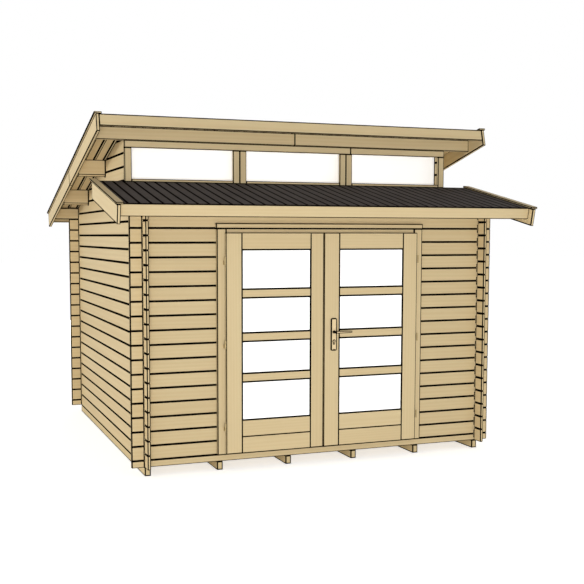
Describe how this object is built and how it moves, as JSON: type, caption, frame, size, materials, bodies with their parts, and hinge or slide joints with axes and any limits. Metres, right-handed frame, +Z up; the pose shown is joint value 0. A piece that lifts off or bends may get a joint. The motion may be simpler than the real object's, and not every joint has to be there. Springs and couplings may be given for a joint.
{
  "type": "log garden house with a clerestory window row and double doors",
  "caption": "Square log garden house with a low front roof, a row of fixed windows above it, a higher rear roof and glazed double doors.",
  "frame": {"origin": "centre of the footprint of the roofs, on the ground under the joists", "axes": "+Z up, the doors face -Y, +X to the right seen from the front"},
  "size_m": [3.574, 3.7266, 2.8529],
  "materials": {
    "spruce_logs": "planed, untreated",
    "spruce_trim": "planed, untreated",
    "spruce_joinery": "planed and sanded, untreated",
    "spruce_boards": "planed, untreated",
    "sawn_spruce": "sawn",
    "roofing_felt": "mineral-surfaced bitumen felt, matt",
    "door_glass": "milk-white, smooth",
    "window_glass": "milk-white, smooth",
    "satin_steel": "satin",
    "zinc_steel": "zinc plated"
  },
  "bodies": {
    "house": {"floor_joists": "sawn_spruce", "floor_boards": "spruce_boards", "front_sill_log": "spruce_logs", "front_wall_left": "spruce_logs", "front_wall_right": "spruce_logs", "front_lintel_log": "spruce_logs", "front_top_log": "spruce_logs", "left_wall": "spruce_logs", "right_wall": "spruce_logs", "left_gable": "spruce_logs", "right_gable": "spruce_logs", "rear_wall": "spruce_logs", "rear_top_log": "spruce_logs", "row_beams": "sawn_spruce", "window_board": "spruce_boards", "row_posts": "spruce_trim", "row_sills": "spruce_trim", "row_head": "spruce_trim", "row_glass": "window_glass", "front_purlin": "spruce_logs", "middle_purlin": "spruce_logs", "rear_purlin": "spruce_logs", "lower_roof_boards": "spruce_boards", "upper_roof_boards": "spruce_boards", "lower_roof_felt": "roofing_felt", "upper_roof_felt": "roofing_felt", "lower_fascia": "spruce_trim", "upper_fascias": "spruce_trim", "lower_bargeboards": "spruce_trim", "upper_bargeboards": "spruce_trim", "bargeboard_caps": "spruce_trim", "door_frame": "spruce_trim", "door_trims": "spruce_trim", "frame_hinges": "zinc_steel"},
    "left_door": {"left_door_stiles": "spruce_joinery", "left_door_rails": "spruce_joinery", "left_door_bars": "spruce_joinery", "left_door_glass": "door_glass", "left_door_hinges": "zinc_steel"},
    "right_door": {"right_door_stiles": "spruce_joinery", "right_door_rails": "spruce_joinery", "right_door_bars": "spruce_joinery", "right_door_glass": "door_glass", "right_door_hinges": "zinc_steel", "handle_plates": "satin_steel", "lock_cylinder": "satin_steel"},
    "lever": {"door_levers": "satin_steel"}
  },
  "joints": [
    {"name": "left_door_hinge", "type": "hinge", "parent": "house", "child": "left_door", "pos_m": [-0.856, -1.50579, 1.0175], "axis": [0, 0, -1], "range_deg": [0, 160]},
    {"name": "right_door_hinge", "type": "hinge", "parent": "house", "child": "right_door", "pos_m": [0.856, -1.50579, 1.0175], "axis": [0, 0, 1], "range_deg": [0, 160]},
    {"name": "lever_turn", "type": "hinge", "parent": "right_door", "child": "lever", "pos_m": [0.08, -1.50579, 1.087], "axis": [0, 1, 0], "range_deg": [0, 40], "stiffness_Nm_per_rad": 1.5, "springref_deg": -28.65}
  ]
}
